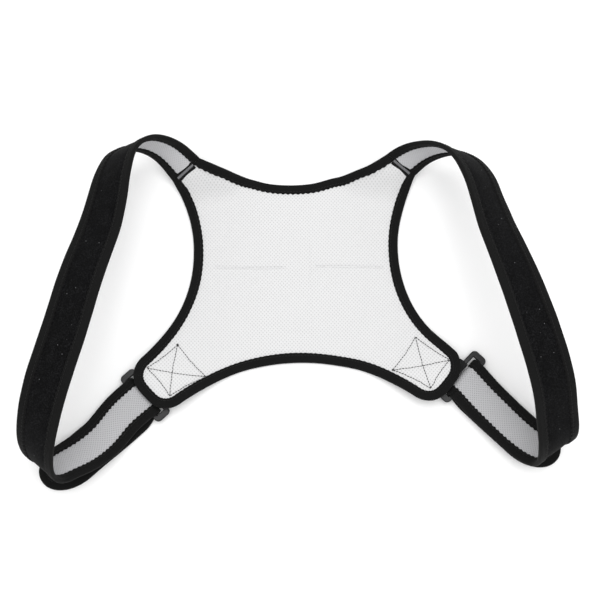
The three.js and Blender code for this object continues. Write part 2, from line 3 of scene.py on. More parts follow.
import bpy
import numpy as np
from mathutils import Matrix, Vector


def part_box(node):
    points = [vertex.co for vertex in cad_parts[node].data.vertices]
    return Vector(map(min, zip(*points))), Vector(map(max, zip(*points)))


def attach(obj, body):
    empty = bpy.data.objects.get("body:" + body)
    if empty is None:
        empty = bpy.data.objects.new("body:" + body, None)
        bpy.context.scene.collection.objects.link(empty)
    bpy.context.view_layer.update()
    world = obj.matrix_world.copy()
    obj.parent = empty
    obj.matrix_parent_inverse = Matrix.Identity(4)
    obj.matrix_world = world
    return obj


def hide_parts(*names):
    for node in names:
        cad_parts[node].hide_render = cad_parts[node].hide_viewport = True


# Posture corrector lying on a table with its pale lining up. Sizes are millimetres,
# counted from the table under the middle of the back panel, +Y to the neck, until
# makeSurface turns them into metres and moves them to the frame's origin.

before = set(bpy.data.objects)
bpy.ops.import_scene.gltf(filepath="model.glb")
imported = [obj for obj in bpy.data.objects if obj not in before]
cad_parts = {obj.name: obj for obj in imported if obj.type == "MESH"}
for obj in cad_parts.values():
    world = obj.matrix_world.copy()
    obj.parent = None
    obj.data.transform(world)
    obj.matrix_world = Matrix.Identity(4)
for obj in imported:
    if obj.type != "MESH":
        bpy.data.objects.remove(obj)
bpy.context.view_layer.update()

# Cloth and tapes: how far each stands off the middle surface, and how wide it is.
cloth = {
    "boundHalf": 2.55,
    "pressed": 1.15,
    "puffed": 2.1,
    "puffReach": 4.5,
    "tapeWidth": 10.9,
    "edgeInset": 0.9,
    "strapWidth": 48.4,
    "seamWidth": 45.4,
    "liningTape": 11.0,
    "outerTape": 10.6,
}

# Outline of the panel, which the lobes and the powers of its edge curves shape.
panel = {
    "topMidUp": 101.2,
    "bottomMidDown": 98.2,
    "waistHalf": 112.0,
    "waistUp": 29.0,
    "lobeOut": 143.5,
    "lobeDown": 114.0,
    "lobeRadius": 32.5,
    "lobeTipFlat": 0.17,
    "lobeHeading": 41.0,
    "lobeLevel": 8.0,
    "lobeSlope": 90.0,
    "lobeStart": 51.0,
    "lobeEnd": -129.0,
    "rightLobeShift": (-1.6, 2.2),
    "tipDegrees": -42.0,
    "tipSpread": 38.0,
    "topPower": 1.9,
    "armTopPower": 2.0,
    "armLowPower": 2.3,
    "bottomPower": 2.1,
    "neckHoldPower": 30,
}

# Seam of panel and strap: its middle, the way it faces in plan, its tilt, and how the
# cloth falls from it to the table.
seam = {
    "out": 118.5,
    "up": 116.0,
    "rise": 22.6,
    "facing": 25.0,
    "tilt": 37.0,
    "fall": 0.48,
    "flat": 9.0,
    "wide": 26.0,
    "fade": 45.0,
    "softBend": 2.0,
    "turn": 5.0,
}

# Ring: the strap's hold on its bar, how far it slips out, and its height.
ring = {
    "hold": 1.4,
    "slip": 5.0,
    "level": 8.05,
    "wrapRadius": 5.3,
}

# Loop of a strap over the shoulder, and the rounded end of its tail.
loop = {"reach": 80.0, "height": 112.0, "endLong": 43.0, "endShort": 18.0, "tip": -5.0}
tableLevel = 2.75
lobeGap = 0.3
lobeRise = ring["level"] + ring["wrapRadius"] + tableLevel + lobeGap

# One row for each section of a strap, from the seam to the ring. along: share of
# the way from seam to ring; out: share of the loop's reach; rise: share of its
# height; facing: where the width points in plan; tilt: lift of the neck-side edge.
lieColumns = ("along", "out", "rise", "facing", "tilt")
leftLie = (
    (-0.056, 0.294, 0.33, 12, 47),
    (-0.049, 0.555, 0.49, 5, 47),
    (0.02, 0.75, 0.66, 0, 41),
    (0.125, 0.8, 0.737, -5, 32),
    (0.236, 0.794, 0.768, -7.5, 24),
    (0.366, 0.8, 0.804, -10, 17),
    (0.585, 0.862, 0.92, -13, 13),
    (0.82, 0.912, 0.973, -15.5, 12),
    (1.05, 1, 0.946, -20.5, 12),
    (1.205, 1.05, 0.82, -25, 17),
    (1.302, 1.06, 0.66, -30, 22),
    (1.353, 1.024, 0.504, -36, 25),
    (1.365, 0.93, 0.366, -38.5, 25),
    (1.322, 0.78, 0.252, -41, 22),
    (1.27, 0.6, 0.165, -43.5, 14),
    (1.196, 0.413, 0.108, -45.5, 6),
    (1.093, 0.238, 0.094, -47.5, 2),
)
rightLie = (
    (-0.017, 0.275, 0.33, 12.5, 45),
    (0.012, 0.519, 0.5, 3, 46),
    (0.083, 0.69, 0.66, 1, 43),
    (0.188, 0.769, 0.777, -2, 38),
    (0.303, 0.775, 0.835, -5, 37),
    (0.43, 0.769, 0.884, -7, 30),
    (0.66, 0.794, 0.996, -12, 22),
    (0.9, 0.812, 1.045, -15.5, 16),
    (1.13, 0.831, 0.96, -20, 14),
    (1.265, 0.825, 0.768, -22, 13),
    (1.365, 0.812, 0.598, -24, 11),
    (1.405, 0.794, 0.438, -30, 11),
    (1.405, 0.744, 0.286, -39, 10.5),
    (1.365, 0.632, 0.182, -43.5, 9),
    (1.29, 0.481, 0.129, -44, 6),
    (1.21, 0.342, 0.104, -44, 4),
    (1.1, 0.158, 0.095, -44.5, 2),
)
sides = {
    "left": {
        "side": -1,
        "out": 165.4,
        "down": 131.0,
        "heading": 41.0,
        "tail": 134.0,
        "drift": 4.2,
        "lie": leftLie,
    },
    "right": {
        "side": 1,
        "out": 176.0,
        "down": 118.5,
        "heading": 45.0,
        "tail": 127.5,
        "drift": 1.8,
        "lie": rightLie,
    },
}

rng = np.random.default_rng(7)


def ramp(x, low, high):
    t = np.clip((x - low) / (high - low), 0, 1)
    return t * t * (3 - 2 * t)


def bell(x, middle, reach):
    return np.exp(-(((x - middle) / reach) ** 2))


def unit(v):
    return v / np.maximum(np.linalg.norm(v, axis=-1, keepdims=True), 1e-12)


def stack(*parts):
    return np.stack(np.broadcast_arrays(*parts), axis=-1)


# Distances along a line of points, and the same line at even steps.
def lengths(points):
    steps = np.linalg.norm(np.diff(points, axis=0), axis=1)
    return np.concatenate([[0.0], np.cumsum(steps)])


def evenly(points, spacing):
    run = lengths(points)
    count = max(int(round(run[-1] / spacing)), 2) + 1
    at = np.linspace(0, run[-1], count)
    return np.stack([np.interp(at, run, points[:, i]) for i in range(points.shape[1])], axis=1)


# Outline of the right lobe: a circle that is a little flatter at its tip.
def lobePoint(degrees):
    dip = bell(degrees, panel["tipDegrees"], panel["tipSpread"])
    radius = panel["lobeRadius"] * (1 - panel["lobeTipFlat"] * dip)
    angle = np.radians(degrees)
    return stack(
        panel["lobeOut"] + radius * np.cos(angle), -panel["lobeDown"] + radius * np.sin(angle)
    )


# The panel's middle surface: flat on the table, lifted to a tilted patch at each
# seam, and raised by a half cosine wave over each lobe, which lies on its ring.
def panelHeight(x, y):
    facing = math.radians(seam["facing"])
    heading = math.radians(panel["lobeHeading"])
    tip = lobePoint(-panel["lobeHeading"])
    z = np.full(np.broadcast(x, y).shape, tableLevel)
    for side in (-1, 1):
        dx = seam["out"] - x * side
        dy = y - seam["up"]
        across = dx * math.cos(facing) + dy * math.sin(facing)
        back = dx * math.sin(facing) - dy * math.cos(facing)
        lift = seam["rise"] - tableLevel + math.tan(math.radians(seam["tilt"])) * across
        lift = lift - seam["fall"] * back
        past = np.hypot(np.maximum(back - seam["flat"], 0), np.maximum(across - seam["wide"], 0))
        soft = 0.5 * (lift + np.hypot(lift, seam["softBend"]))
        z = z + soft * (1 - ramp(past, 0, seam["fade"]))
        fromTip = (tip[0] - x * side) * math.cos(heading) + (y - tip[1]) * math.sin(heading)
        share = np.clip((fromTip - panel["lobeLevel"]) / panel["lobeSlope"], 0, 1)
        z = z + np.where(x * side > 0, lobeRise * (0.5 + 0.5 * np.cos(np.pi * share)), 0)
    return z


def panelPoint(x, y, off):
    h = 0.5
    slopeX = (panelHeight(x + h, y) - panelHeight(x - h, y)) / (2 * h)
    slopeY = (panelHeight(x, y + h) - panelHeight(x, y - h)) / (2 * h)
    normal = unit(stack(-slopeX, -slopeY, 1.0))
    return stack(x, y, panelHeight(x, y)) + normal * np.asarray(off)[..., None]


# The outline in plan, in stretches that run clockwise as seen from above.
seamHalf = 0.5 * cloth["seamWidth"] * math.cos(math.radians(seam["tilt"]))
toArm = np.array([math.cos(math.radians(seam["facing"])), -math.sin(math.radians(seam["facing"]))])
seamBack = np.array([toArm[1], -toArm[0]])
seamMiddle = np.array([seam["out"], seam["up"]])
neckCorner = seamMiddle - toArm * seamHalf
armCorner = seamMiddle + toArm * seamHalf
flipX = np.array([-1.0, 1.0])


# Low swells of the edges, each with its height, place and reach. Along the neck
# edge the place is a share of the way from the middle to the seam, and along the arm
# edges and the foot it is a y or x in millimetres.
swells = {
    "neckLeft": ((2.6, 0.5, 0.16), (-1.3, 0.84, 0.1)),
    "neckRight": ((2.7, 0.44, 0.17), (-3.2, 0.82, 0.14)),
    "armLeft": ((1.1, -50, 50),),
    "armRight": ((0.9, -5, 60), (2.6, -85, 14)),
    "armRightTop": ((2.3, 75, 35),),
    "foot": ((1.1, 68, 25),),
}
swellLimits = {"footBelow": -60, "armOut": 80, "topFade": (92, 107)}
lobeFade = {"out": (40, 100), "down": (-112, -80)}


def swell(name, at):
    return sum(height * bell(at, middle, reach) for height, middle, reach in swells[name])


def neckStretch():
    t = np.linspace(0, 1, 160)
    y = panel["topMidUp"] + (neckCorner[1] - panel["topMidUp"]) * t ** panel["topPower"]
    held = 1 - t ** panel["neckHoldPower"]
    leftY = y + held * swell("neckLeft", t)
    rightY = y + held * swell("neckRight", t)
    left = stack(neckCorner[0] * t, leftY)
    right = stack(neckCorner[0] * t, rightY)
    return np.concatenate([left[:0:-1] * flipX, right])


def armStretch():
    t = np.linspace(0, 1, 160)
    lobeTop = lobePoint(panel["lobeStart"])
    lobeFoot = lobePoint(panel["lobeEnd"])
    waist = np.array([panel["waistHalf"], panel["waistUp"]])
    high = stack(
        waist[0] + (armCorner[0] - waist[0]) * (1 - t) ** panel["armTopPower"],
        armCorner[1] + (waist[1] - armCorner[1]) * t,
    )
    low = stack(
        waist[0] + (lobeTop[0] - waist[0]) * t ** panel["armLowPower"],
        waist[1] + (lobeTop[1] - waist[1]) * t,
    )
    lobe = lobePoint(np.linspace(panel["lobeStart"], panel["lobeEnd"], 240))
    foot = stack(
        lobeFoot[0] * (1 - t),
        -panel["bottomMidDown"]
        + (lobeFoot[1] + panel["bottomMidDown"]) * (1 - t) ** panel["bottomPower"],
    )
    half = np.concatenate([high[:-1], low[:-1], lobe[:-1], foot])
    x, y = half[:, 0], half[:, 1]
    outwards, upwards = np.array([1.0, 0.0]), np.array([0.0, 1.0])
    half = half + upwards * (swell("foot", x) * (y < swellLimits["footBelow"]))[:, None]
    lobeShare = ramp(x, *lobeFade["out"]) * (1 - ramp(y, *lobeFade["down"]))
    right = half + lobeShare[:, None] * np.array(panel["rightLobeShift"])
    beside = x > swellLimits["armOut"]
    top = swell("armRightTop", y) * (1 - ramp(y, *swellLimits["topFade"]))
    right = right + outwards * ((swell("armRight", y) + top) * beside)[:, None]
    left = half + outwards * (swell("armLeft", y) * beside)[:, None]
    return np.concatenate([right, left[-2::-1] * flipX])


# A stretch at even steps with its way in from the edge. At both ends the way in
# turns along the seam within a few millimetres.
def edgeOf(points, spacing, towardsArm):
    plan = evenly(points, spacing)
    way = unit(np.gradient(plan, axis=0))
    inwards = stack(way[:, 1], -way[:, 0])
    run = lengths(plan)
    sign = 1 if towardsArm else -1
    for side, gap in ((np.sign(plan[0, 0]), run), (np.sign(plan[-1, 0]), run[-1] - run)):
        along = toArm * np.array([side, 1.0]) * sign
        share = bell(gap, 0, seam["turn"])[:, None]
        inwards = unit(inwards * (1 - share) + along * share)
    climb = panelHeight(plan[:, 0] + inwards[:, 0], plan[:, 1] + inwards[:, 1])
    climb = climb - panelHeight(plan[:, 0], plan[:, 1])
    inwards = inwards / np.hypot(1, climb)[:, None]
    return {"plan": plan, "inwards": inwards, "run": run}


neckEdge = edgeOf(neckStretch(), 1.0, True)
armEdge = edgeOf(armStretch(), 1.0, False)

# The frame's origin is under the middle of the whole, this script's under the panel.
shellLow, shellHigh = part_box("panel_shell")
armLow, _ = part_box("panel_tape_arms")
origin = np.array(
    [
        500 * (shellLow[0] + shellHigh[0]),
        1000 * armLow[1] - armEdge["plan"][:, 1].min(),
        0.0,
    ]
)


# A piece from points in this script's millimetres and four-sided faces. uv is in
# millimetres of cloth.
def makePiece(name, points, quads, material, uv=None):
    mesh = bpy.data.meshes.new(name)
    mesh.vertices.add(points.size // 3)
    mesh.vertices.foreach_set("co", ((points + origin) * 0.001).astype(np.float32).ravel())
    mesh.loops.add(quads.size)
    mesh.loops.foreach_set("vertex_index", quads.astype(np.int32).ravel())
    mesh.polygons.add(len(quads))
    mesh.polygons.foreach_set("loop_start", np.arange(0, quads.size, 4, dtype=np.int32))
    mesh.update(calc_edges=True)
    if uv is not None:
        layer = mesh.uv_layers.new(name="cloth")
        layer.data.foreach_set("uv", uv.reshape(-1, 2)[quads.ravel()].astype(np.float32).ravel())
    mesh.polygons.foreach_set("use_smooth", np.ones(len(quads), dtype=bool))
    mesh.materials.append(material)
    mesh.validate()
    piece = bpy.data.objects.new(name, mesh)
    bpy.context.scene.collection.objects.link(piece)
    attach(piece, "root")
    return piece


# A surface over a grid of points (n, m, 3), joined round where it is closed.
def makeSurface(name, points, uv, material, closed=False, turn=False):
    n, m = points.shape[:2]
    spans = m if closed else m - 1
    i, j = np.meshgrid(np.arange(n - 1), np.arange(spans), indexing="ij")
    k = (j + 1) % m
    quads = stack(i * m + j, i * m + k, (i + 1) * m + k, (i + 1) * m + j).reshape(-1, 4)
    if turn:
        quads = quads[:, ::-1]
    return makePiece(name, points, quads, material, uv)


# Threads: each runs from one point to another in a low arch over the cloth.
# Point = start + (end - start) t + up (4 lift t (1 - t)), with a round section.
def makeThreads(name, starts, ends, ups, radius, lift, material):
    t = np.linspace(0, 1, 7)
    angle = np.linspace(0, 2 * np.pi, 6, endpoint=False)
    way = ends - starts
    middle = starts[:, None] + way[:, None] * t[:, None]
    middle = middle + ups[:, None] * (4 * lift * t * (1 - t))[:, None]
    along = unit(way)
    across = unit(np.cross(along, ups))
    thin = radius * np.sqrt(np.clip(1 - (2 * t - 1) ** 6, 0.02, 1))
    circle = across[:, None] * np.cos(angle)[:, None] + ups[:, None] * np.sin(angle)[:, None]
    points = middle[:, :, None] + circle[:, None] * thin[:, None, None]
    count, rows, cols = points.shape[:3]
    k, i, j = np.meshgrid(np.arange(count), np.arange(rows - 1), np.arange(cols), indexing="ij")
    base = k * rows * cols
    after = (j + 1) % cols
    quads = stack(
        base + i * cols + j,
        base + (i + 1) * cols + j,
        base + (i + 1) * cols + after,
        base + i * cols + after,
    ).reshape(-1, 4)
    makePiece(name, points, quads, material)


# Materials. A small builder keeps the node trees short.
class Nodes:
    def __init__(self, name):
        self.material = bpy.data.materials.new(name)
        self.material.use_nodes = True
        self.tree = self.material.node_tree
        self.shader = self.tree.nodes["Principled BSDF"]

    def add(self, kind, **values):
        node = self.tree.nodes.new(kind)
        for key, value in values.items():
            setattr(node, key, value)
        return node

    def join(self, source, target):
        self.tree.links.new(source, target)

    def put(self, socket, value):
        if isinstance(value, bpy.types.NodeSocket):
            self.join(value, socket)
        else:
            socket.default_value = value

    def math(self, operation, first, second=0.0, third=0.0):
        node = self.add("ShaderNodeMath", operation=operation)
        for socket, value in zip(node.inputs, (first, second, third)):
            self.put(socket, value)
        return node.outputs[0]

    def scaled(self, source, low, high, outLow, outHigh):
        node = self.add("ShaderNodeMapRange", interpolation_type="SMOOTHSTEP")
        for socket, value in zip(node.inputs, (source, low, high, outLow, outHigh)):
            self.put(socket, value)
        return node.outputs[0]

    def noise(self, scale, detail=3.0):
        place = self.add("ShaderNodeTexCoord").outputs["Object"]
        node = self.add("ShaderNodeTexNoise")
        self.join(place, node.inputs["Vector"])
        node.inputs["Scale"].default_value = scale
        node.inputs["Detail"].default_value = detail
        return node.outputs["Fac"]

    def cloth(self):
        split = self.add("ShaderNodeSeparateXYZ")
        self.join(self.add("ShaderNodeUVMap", uv_map="cloth").outputs[0], split.inputs[0])
        return split.outputs[0], split.outputs[1]

    def wave(self, source, period):
        return self.math("COSINE", self.math("MULTIPLY", source, 2 * math.pi / period))

    def tint(self, factor, low, high):
        node = self.add("ShaderNodeMix", data_type="RGBA", clamp_factor=False)
        self.put(node.inputs[0], factor)
        node.inputs[6].default_value = (*low, 1)
        node.inputs[7].default_value = (*high, 1)
        return node.outputs[2]

    def finish(self, colour, roughness, height=None, depth=0.3, strength=1.0, sheen=0.0, shine=0.5):
        self.put(self.shader.inputs["Base Color"], colour)
        self.put(self.shader.inputs["Roughness"], roughness)
        self.shader.inputs["Sheen Weight"].default_value = sheen
        self.shader.inputs["Specular IOR Level"].default_value = shine
        if height is not None:
            bump = self.add("ShaderNodeBump")
            bump.inputs["Distance"].default_value = depth * 0.001
            bump.inputs["Strength"].default_value = strength
            self.join(height, bump.inputs["Height"])
            self.join(bump.outputs[0], self.shader.inputs["Normal"])
        return self.material


# Pale spacer mesh: small holes on a slanted grid, 0.73 pitch from one to the next.
# hole = cos(2 pi u / pitch) cos(2 pi v / 1.07 pitch), which peaks at every second crossing.
def spacerMesh(name, tone, faint, pitch, paintedLightNearSeam=0.0):
    n = Nodes(name)
    u, v = n.cloth()
    knit = n.math("MULTIPLY", n.wave(u, pitch), n.wave(v, 1.07 * pitch))
    hole = n.scaled(knit, 0.25, 0.8, 0.0, 1.0)
    ribs = n.math("MULTIPLY", n.wave(u, 0.65), 0.1)
    fuzz = n.noise(900.0, 2.0)
    soft = n.noise(22.0, 3.0)
    shade = n.math("ADD", n.math("MULTIPLY", hole, 0.8), n.math("MULTIPLY", fuzz, 0.12))
    shade = n.math("ADD", shade, n.math("MULTIPLY", soft, 0.1))
    # Painted light: the mesh is lighter over the first 60 mm from the seam and fades to its own
    # tone by 110 mm; the panel gets none.
    shade = n.math("SUBTRACT", shade, n.scaled(v, 60.0, 110.0, paintedLightNearSeam, 0.0))
    colour = n.tint(shade, tone, tuple(faint * c for c in tone))
    height = n.math("SUBTRACT", ribs, hole)
    return n.finish(colour, 0.92, height, 0.4, 0.6, shine=0.15)


# Black loop cloth: brushed nap with small pricked holes, some of which show pale.
def loopCloth():
    n = Nodes("loopCloth")
    u, v = n.cloth()
    grid = n.math("MULTIPLY", n.wave(u, 14.8), n.wave(v, 14.8))
    prick = n.scaled(grid, 0.975, 0.995, 0.0, 1.0)
    nap = n.noise(900.0, 5.0)
    patches = n.scaled(n.noise(90.0, 3.0), 0.3, 0.7, 0.5, 1.0)
    worn = n.math("MULTIPLY", n.scaled(nap, 0.42, 0.68, 0.0, 1.0), patches)
    pale = n.math("MULTIPLY", prick, n.scaled(n.noise(55.0, 1.0), 0.57, 0.63, 0.0, 1.0))
    body = n.tint(worn, (0.0014, 0.0014, 0.0016), (0.0125, 0.0126, 0.0135))
    mix = n.add("ShaderNodeMix", data_type="RGBA")
    n.put(mix.inputs[0], pale)
    n.join(body, mix.inputs[6])
    mix.inputs[7].default_value = (0.16, 0.16, 0.165, 1)
    height = n.math("SUBTRACT", n.math("MULTIPLY", nap, 0.6), prick)
    return n.finish(mix.outputs[2], 0.95, height, 0.5, 0.7, 0.02, 0.08)


# Woven edge tape: a fine grid of ribs with a little fuzz.
def wovenTape():
    n = Nodes("wovenTape")
    u, v = n.cloth()
    ribs = n.math("MULTIPLY", n.wave(v, 0.95), n.wave(u, 1.1))
    fuzz = n.noise(1300.0, 3.0)
    height = n.math("ADD", n.math("MULTIPLY", ribs, 0.5), n.math("MULTIPLY", fuzz, 0.6))
    colour = n.tint(fuzz, (0.0015, 0.0015, 0.0015), (0.0085, 0.0085, 0.0085))
    return n.finish(colour, 0.75, height, 0.25, 0.6, 0.02, 0.1)


# Flat webbing of the tabs: slanted ribs with finer ones across them.
def webbing():
    n = Nodes("webbing")
    place = n.add("ShaderNodeSeparateXYZ")
    n.join(n.add("ShaderNodeTexCoord").outputs["Object"], place.inputs[0])
    x = n.math("MULTIPLY", place.outputs[0], 1000.0)
    y = n.math("MULTIPLY", place.outputs[1], 1000.0)
    ribs = n.wave(n.math("ADD", x, y), 1.9)
    fine = n.wave(n.math("SUBTRACT", x, y), 0.8)
    height = n.math("ADD", ribs, n.math("MULTIPLY", fine, 0.4))
    colour = n.tint(n.noise(700.0, 3.0), (0.006, 0.006, 0.006), (0.02, 0.02, 0.021))
    return n.finish(colour, 0.6, height, 0.3, 0.7, 0.02, 0.2)


def hookTape():
    n = Nodes("hookTape")
    hooks = n.noise(1500.0, 2.0)
    colour = n.tint(hooks, (0.004, 0.004, 0.005), (0.03, 0.03, 0.033))
    return n.finish(colour, 0.6, hooks, 0.9, 1.0, shine=0.2)


def mouldedPlastic():
    n = Nodes("mouldedPlastic")
    grain = n.noise(700.0, 3.0)
    colour = n.tint(n.noise(40.0, 2.0), (0.004, 0.004, 0.0045), (0.008, 0.008, 0.009))
    return n.finish(colour, n.scaled(grain, 0.3, 0.7, 0.28, 0.42), grain, 0.05, 0.5, shine=0.3)


def sewingThread(name, low, high):
    n = Nodes(name)
    colour = n.tint(n.noise(900.0, 2.0), low, high)
    return n.finish(colour, 0.6, n.noise(1600.0, 2.0), 0.1, 0.5, 0.02, 0.2)


looks = {
    "panelMesh": spacerMesh("panelMesh", (0.695, 0.695, 0.698), 0.76, 3.9),
    # The strap lining is the same pale spacer mesh as the panel; its darker tone and darker holes
    # are painted shade.
    "shadedStrapMesh": spacerMesh("shadedStrapMesh", (0.47, 0.47, 0.482), 0.6, 3.2, 0.4),
    "loopCloth": loopCloth(),
    "wovenTape": wovenTape(),
    "webbing": webbing(),
    "hookTape": hookTape(),
    "plastic": mouldedPlastic(),
    "blackThread": sewingThread("blackThread", (0.006, 0.006, 0.006), (0.02, 0.02, 0.02)),
    "greyThread": sewingThread("greyThread", (0.16, 0.16, 0.17), (0.3, 0.3, 0.31)),
}
print("materials made")


# How far a layer stands off the middle, from its distance to the tape's edge: it
# is pressed flat at the stitches and swells to its full thickness behind them.
def puff(fromTape, full):
    share = 1 - np.exp(-np.maximum(fromTape, 0) / cloth["puffReach"])
    return cloth["pressed"] + (full - cloth["pressed"]) * share


def nearest(x, y, points):
    flat = np.stack([x.ravel(), y.ravel()], axis=1)
    best = np.full(len(flat), 1e9)
    for start in range(0, len(points), 60):
        part = points[start : start + 60]
        gap = np.hypot(flat[:, None, 0] - part[:, 0], flat[:, None, 1] - part[:, 1])
        best = np.minimum(best, gap.min(axis=1))
    return best.reshape(x.shape)


# The two layers of the panel as one patch with four sides. Inside point =
# (1-v) top + v foot + (1-u) left + u right - the same from the four corners.
# grid: points across and down; flat and area: the cut cloth in metres.
panelCloth = {
    "liningGrid": (330, 270),
    "outerGrid": (200, 160),
    "outerPuffed": 1.75,
    "wrinkle": 0.22,
    "fineWrinkle": 0.12,
    "wrinkleReach": 12,
    "flat": (0.35, 0.27),
    "area": 0.064,
}
# Crease across the panel in two halves, and a weaker one that crosses it upright.
crease = {
    "deep": 1.9,
    "wide": 1.0,
    "up": 7.5,
    "slope": 0.012,
    "wave": 0.6,
    "wavePitch": 21,
    "middle": 4,
    "halfOut": 55,
    "halfEnd": (34, 42),
    "uprightOut": 15.5,
    "uprightDown": 12,
    "uprightEnd": (40, 70),
    "uprightShare": 0.35,
}


def fourSides():
    inset = cloth["edgeInset"]
    arm = armEdge["plan"] + armEdge["inwards"] * inset
    neck = neckEdge["plan"] + neckEdge["inwards"] * inset
    half = len(arm) // 2
    tip = np.argmax(arm[:half] @ np.array([1.0, -0.9]))
    right = arm[: tip + 1]
    left = arm[len(arm) - 1 - tip :][::-1]
    foot = arm[tip : len(arm) - tip][::-1]
    seamLine = np.linspace(0, 1, 40)[1:-1, None]
    back = seamBack * 0.4
    toNeck = left[0] + (neck[0] - left[0]) * seamLine + back * flipX
    toRight = neck[-1] + (right[0] - neck[-1]) * seamLine + back
    top = np.concatenate([left[:1], toNeck, neck, toRight, right[:1]])
    return top, foot, left, right


def panelGrid(across, down):
    top, foot, left, right = fourSides()
    u = np.linspace(0, 1, across)
    v = np.linspace(0, 1, down)

    def at(points, share):
        run = lengths(points)
        return np.stack([np.interp(share * run[-1], run, points[:, i]) for i in (0, 1)], axis=1)

    topLine, footLine, leftLine, rightLine = at(top, u), at(foot, u), at(left, v), at(right, v)
    u, v = u[None, :, None], v[:, None, None]
    plan = (1 - v) * topLine[None] + v * footLine[None]
    plan = plan + (1 - u) * leftLine[:, None] + u * rightLine[:, None]
    corners = (1 - u) * (1 - v) * topLine[0] + u * (1 - v) * topLine[-1]
    corners = corners + (1 - u) * v * footLine[0] + u * v * footLine[-1]
    plan = plan - corners
    return plan[..., 0], plan[..., 1]


# Depth of the creases: a bell across each line, faded out at its ends.
def creaseDepth(x, y):
    level = crease["up"] - crease["slope"] * x + crease["wave"] * np.sin(x / crease["wavePitch"])
    fromHalf = np.abs(np.abs(x - crease["middle"]) - crease["halfOut"])
    line = bell(y, level, crease["wide"]) * (1 - ramp(fromHalf, *crease["halfEnd"]))
    fromUpright = np.abs(y + crease["uprightDown"])
    upright = bell(x, crease["uprightOut"], crease["wide"])
    upright = upright * (1 - ramp(fromUpright, *crease["uprightEnd"])) * crease["uprightShare"]
    return crease["deep"] * (line + upright)


def makePanel():
    x, y = panelGrid(*panelCloth["liningGrid"])
    rim = np.concatenate([neckEdge["plan"][::2], armEdge["plan"][::2]])
    fromTape = nearest(x, y, rim) - cloth["tapeWidth"]
    broad = np.sin(x / 19 + 0.4 * np.sin(y / 23)) * np.sin(y / 27 + 1.0)
    fine = np.sin(x / 8.3 + y / 11.7) * np.sin(y / 9.1 - x / 17)
    wrinkle = panelCloth["wrinkle"] * broad + panelCloth["fineWrinkle"] * fine
    wrinkle = wrinkle * ramp(fromTape, 0, panelCloth["wrinkleReach"])
    lining = panelPoint(x, y, puff(fromTape, cloth["puffed"]) + wrinkle - creaseDepth(x, y))
    uv = np.stack([x, y], axis=-1)
    top = makeSurface(
        "panel_lining_cloth", lining, uv, looks["panelMesh"], turn=True
    )
    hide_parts("panel_lining")
    x, y = panelGrid(*panelCloth["outerGrid"])
    fromTape = nearest(x, y, rim) - cloth["tapeWidth"]
    shell = panelPoint(x, y, -puff(fromTape, panelCloth["outerPuffed"]))
    uv = np.stack([x, y], axis=-1)
    under = makeSurface("panel_outer_cloth", shell, uv, looks["loopCloth"])
    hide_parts("panel_shell")


# Section of the folded tape, from its inner edge on the white side round the edge
# to its inner edge on the black side. Fine ridges run along it.
tapeCut = {
    "ridge": 0.13,
    "pitch": 1.55,
    "edgeRound": 2.3,
    "lip": 0.45,
    "lipDrop": 0.35,
    "stitchAt": 8.0,
    "dimpleWide": 0.9,
    "scallopPitch": 5.2,
}
stitch = {"pitch": 3.3, "gap": 0.7, "radius": 0.22, "lift": 0.1, "above": 0.05}


def tapeFlat(width):
    flat = np.linspace(width, tapeCut["edgeRound"], 20)
    lip = 1 - np.exp(-(width - flat) / tapeCut["lip"])
    low = cloth["pressed"] - tapeCut["lipDrop"]
    high = low + (cloth["boundHalf"] - low) * lip
    return flat, high + tapeCut["ridge"] * np.cos(2 * np.pi * flat / tapeCut["pitch"]) * lip


def tapeSection(first, second):
    flat, high = tapeFlat(first)
    flatBack, highBack = tapeFlat(second)
    angle = np.linspace(0, np.pi, 13)[1:-1]
    edge = tapeCut["edgeRound"] * (1 - np.sin(angle))
    depth = np.concatenate([flat, edge, flatBack[::-1]])
    off = np.concatenate([high, cloth["boundHalf"] * np.cos(angle), -highBack[::-1]])
    return depth, off


# Scallops and stitch dimples of the tape, from the distance along it.
def tapeWaves(run, depth, off, scallop):
    width = depth.max()
    turn = 2 * np.pi * run / tapeCut["scallopPitch"]
    beat = 0.5 + 0.5 * np.cos(turn + 0.7 * np.sin(run / 31))
    wide = scallop * (beat - 0.5) + 0.25 * np.sin(run / 17)
    depths = depth + wide[:, None] * (np.clip(depth / width, 0, 1) ** 4)
    dimple = bell(depth, tapeCut["stitchAt"], tapeCut["dimpleWide"]) * (1 - beat[:, None]) ** 2
    uneven = 0.12 * np.sin(run / 6.3 + np.sin(run / 23))[:, None] * np.cos(depth / 3)
    offs = off - np.sign(off) * (0.45 * scallop * dimple + uneven * (np.abs(off) > 1.2))
    return depths, offs


def stitchRow(name, point, run, off):
    count = int(run[-1] / stitch["pitch"]) - 1
    begin = (np.arange(count) + 0.5) * stitch["pitch"]
    starts, ups = point(begin, tapeCut["stitchAt"], off)
    ends = point(begin + stitch["pitch"] - stitch["gap"], tapeCut["stitchAt"], off)[0]
    thread = looks["blackThread"]
    makeThreads(name, starts, ends, ups, stitch["radius"], stitch["lift"], thread)


